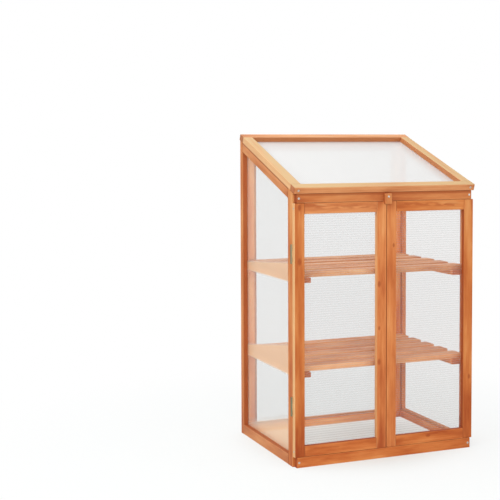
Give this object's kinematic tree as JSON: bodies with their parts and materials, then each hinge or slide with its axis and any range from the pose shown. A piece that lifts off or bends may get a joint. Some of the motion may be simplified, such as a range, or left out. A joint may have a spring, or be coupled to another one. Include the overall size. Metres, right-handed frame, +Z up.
{
  "type": "mini greenhouse",
  "caption": "Wooden mini greenhouse with a sloping hinged lid, glazed doors held shut by a turn button, and slatted shelves inside.",
  "frame": {"origin": "middle of the bounding box's bottom, on the ground", "axes": "+X to the right as seen from the front, +Y from the doors to the back, +Z up"},
  "size_m": [0.7136, 0.5504, 1.1433],
  "materials": {
    "fir_frame": "reddish brown stain, satin, on planed fir",
    "fir_lid": "the same stain, lighter where the sky lights the lid, satin",
    "twin_wall_polycarbonate": "clear twin-wall sheet, milky through its ribs",
    "zinc_steel": "zinc plated with a yellow tint"
  },
  "bodies": {
    "cabinet": {"left_front_post": "fir_frame", "left_rear_post": "fir_frame", "left_bottom_rail": "fir_frame", "left_sloped_rail": "fir_frame", "left_side_panel": "twin_wall_polycarbonate", "right_front_post": "fir_frame", "right_rear_post": "fir_frame", "right_bottom_rail": "fir_frame", "right_sloped_rail": "fir_frame", "right_side_panel": "twin_wall_polycarbonate", "rear_left_stile": "fir_frame", "rear_right_stile": "fir_frame", "rear_top_rail": "fir_frame", "rear_bottom_rail": "fir_frame", "rear_panel": "twin_wall_polycarbonate", "front_top_rail": "fir_frame", "front_bottom_rail": "fir_frame", "left_door_lower_hinge_fixed_leaf": "zinc_steel", "left_door_upper_hinge_fixed_leaf": "zinc_steel", "right_door_lower_hinge_fixed_leaf": "zinc_steel", "right_door_upper_hinge_fixed_leaf": "zinc_steel", "lid_left_hinge_fixed_leaf": "zinc_steel", "lid_right_hinge_fixed_leaf": "zinc_steel", "turn_button_screw": "zinc_steel", "lower_shelf_slat_1": "fir_frame", "lower_shelf_slat_2": "fir_frame", "lower_shelf_slat_3": "fir_frame", "lower_shelf_slat_4": "fir_frame", "lower_shelf_slat_5": "fir_frame", "lower_shelf_left_cleat": "fir_frame", "lower_shelf_right_cleat": "fir_frame", "upper_shelf_slat_1": "fir_frame", "upper_shelf_slat_2": "fir_frame", "upper_shelf_slat_3": "fir_frame", "upper_shelf_slat_4": "fir_frame", "upper_shelf_slat_5": "fir_frame", "upper_shelf_left_cleat": "fir_frame", "upper_shelf_right_cleat": "fir_frame"},
    "left_door": {"left_door_outer_stile": "fir_frame", "left_door_inner_stile": "fir_frame", "left_door_top_rail": "fir_frame", "left_door_bottom_rail": "fir_frame", "left_door_panel": "twin_wall_polycarbonate", "left_door_lower_hinge_moving_leaf": "zinc_steel", "left_door_upper_hinge_moving_leaf": "zinc_steel"},
    "right_door": {"right_door_outer_stile": "fir_frame", "right_door_inner_stile": "fir_frame", "right_door_top_rail": "fir_frame", "right_door_bottom_rail": "fir_frame", "right_door_panel": "twin_wall_polycarbonate", "right_door_lower_hinge_moving_leaf": "zinc_steel", "right_door_upper_hinge_moving_leaf": "zinc_steel"},
    "lid": {"lid_front_rail": "fir_lid", "lid_rear_rail": "fir_lid", "lid_left_rail": "fir_lid", "lid_right_rail": "fir_lid", "lid_panel": "twin_wall_polycarbonate", "lid_left_hinge_moving_leaf": "zinc_steel", "lid_right_hinge_moving_leaf": "zinc_steel"},
    "turn_button": {"turn_button": "fir_frame"}
  },
  "joints": [
    {"name": "left_door_swing", "type": "hinge", "parent": "cabinet", "child": "left_door", "pos_m": [-0.3536, -0.23795, 0.472], "axis": [0, 0, -1], "range_deg": [0, 180]},
    {"name": "right_door_swing", "type": "hinge", "parent": "cabinet", "child": "right_door", "pos_m": [0.3536, -0.23795, 0.472], "axis": [0, 0, 1], "range_deg": [0, 180]},
    {"name": "lid_open", "type": "hinge", "parent": "cabinet", "child": "lid", "pos_m": [0, 0.27205, 1.12262], "axis": [-1, 0, 0], "range_deg": [0, 105]},
    {"name": "turn_button_turn", "type": "hinge", "parent": "cabinet", "child": "turn_button", "pos_m": [0, -0.26605, 0.9235], "axis": [0, 1, 0], "range_deg": [-90, 90]}
  ]
}
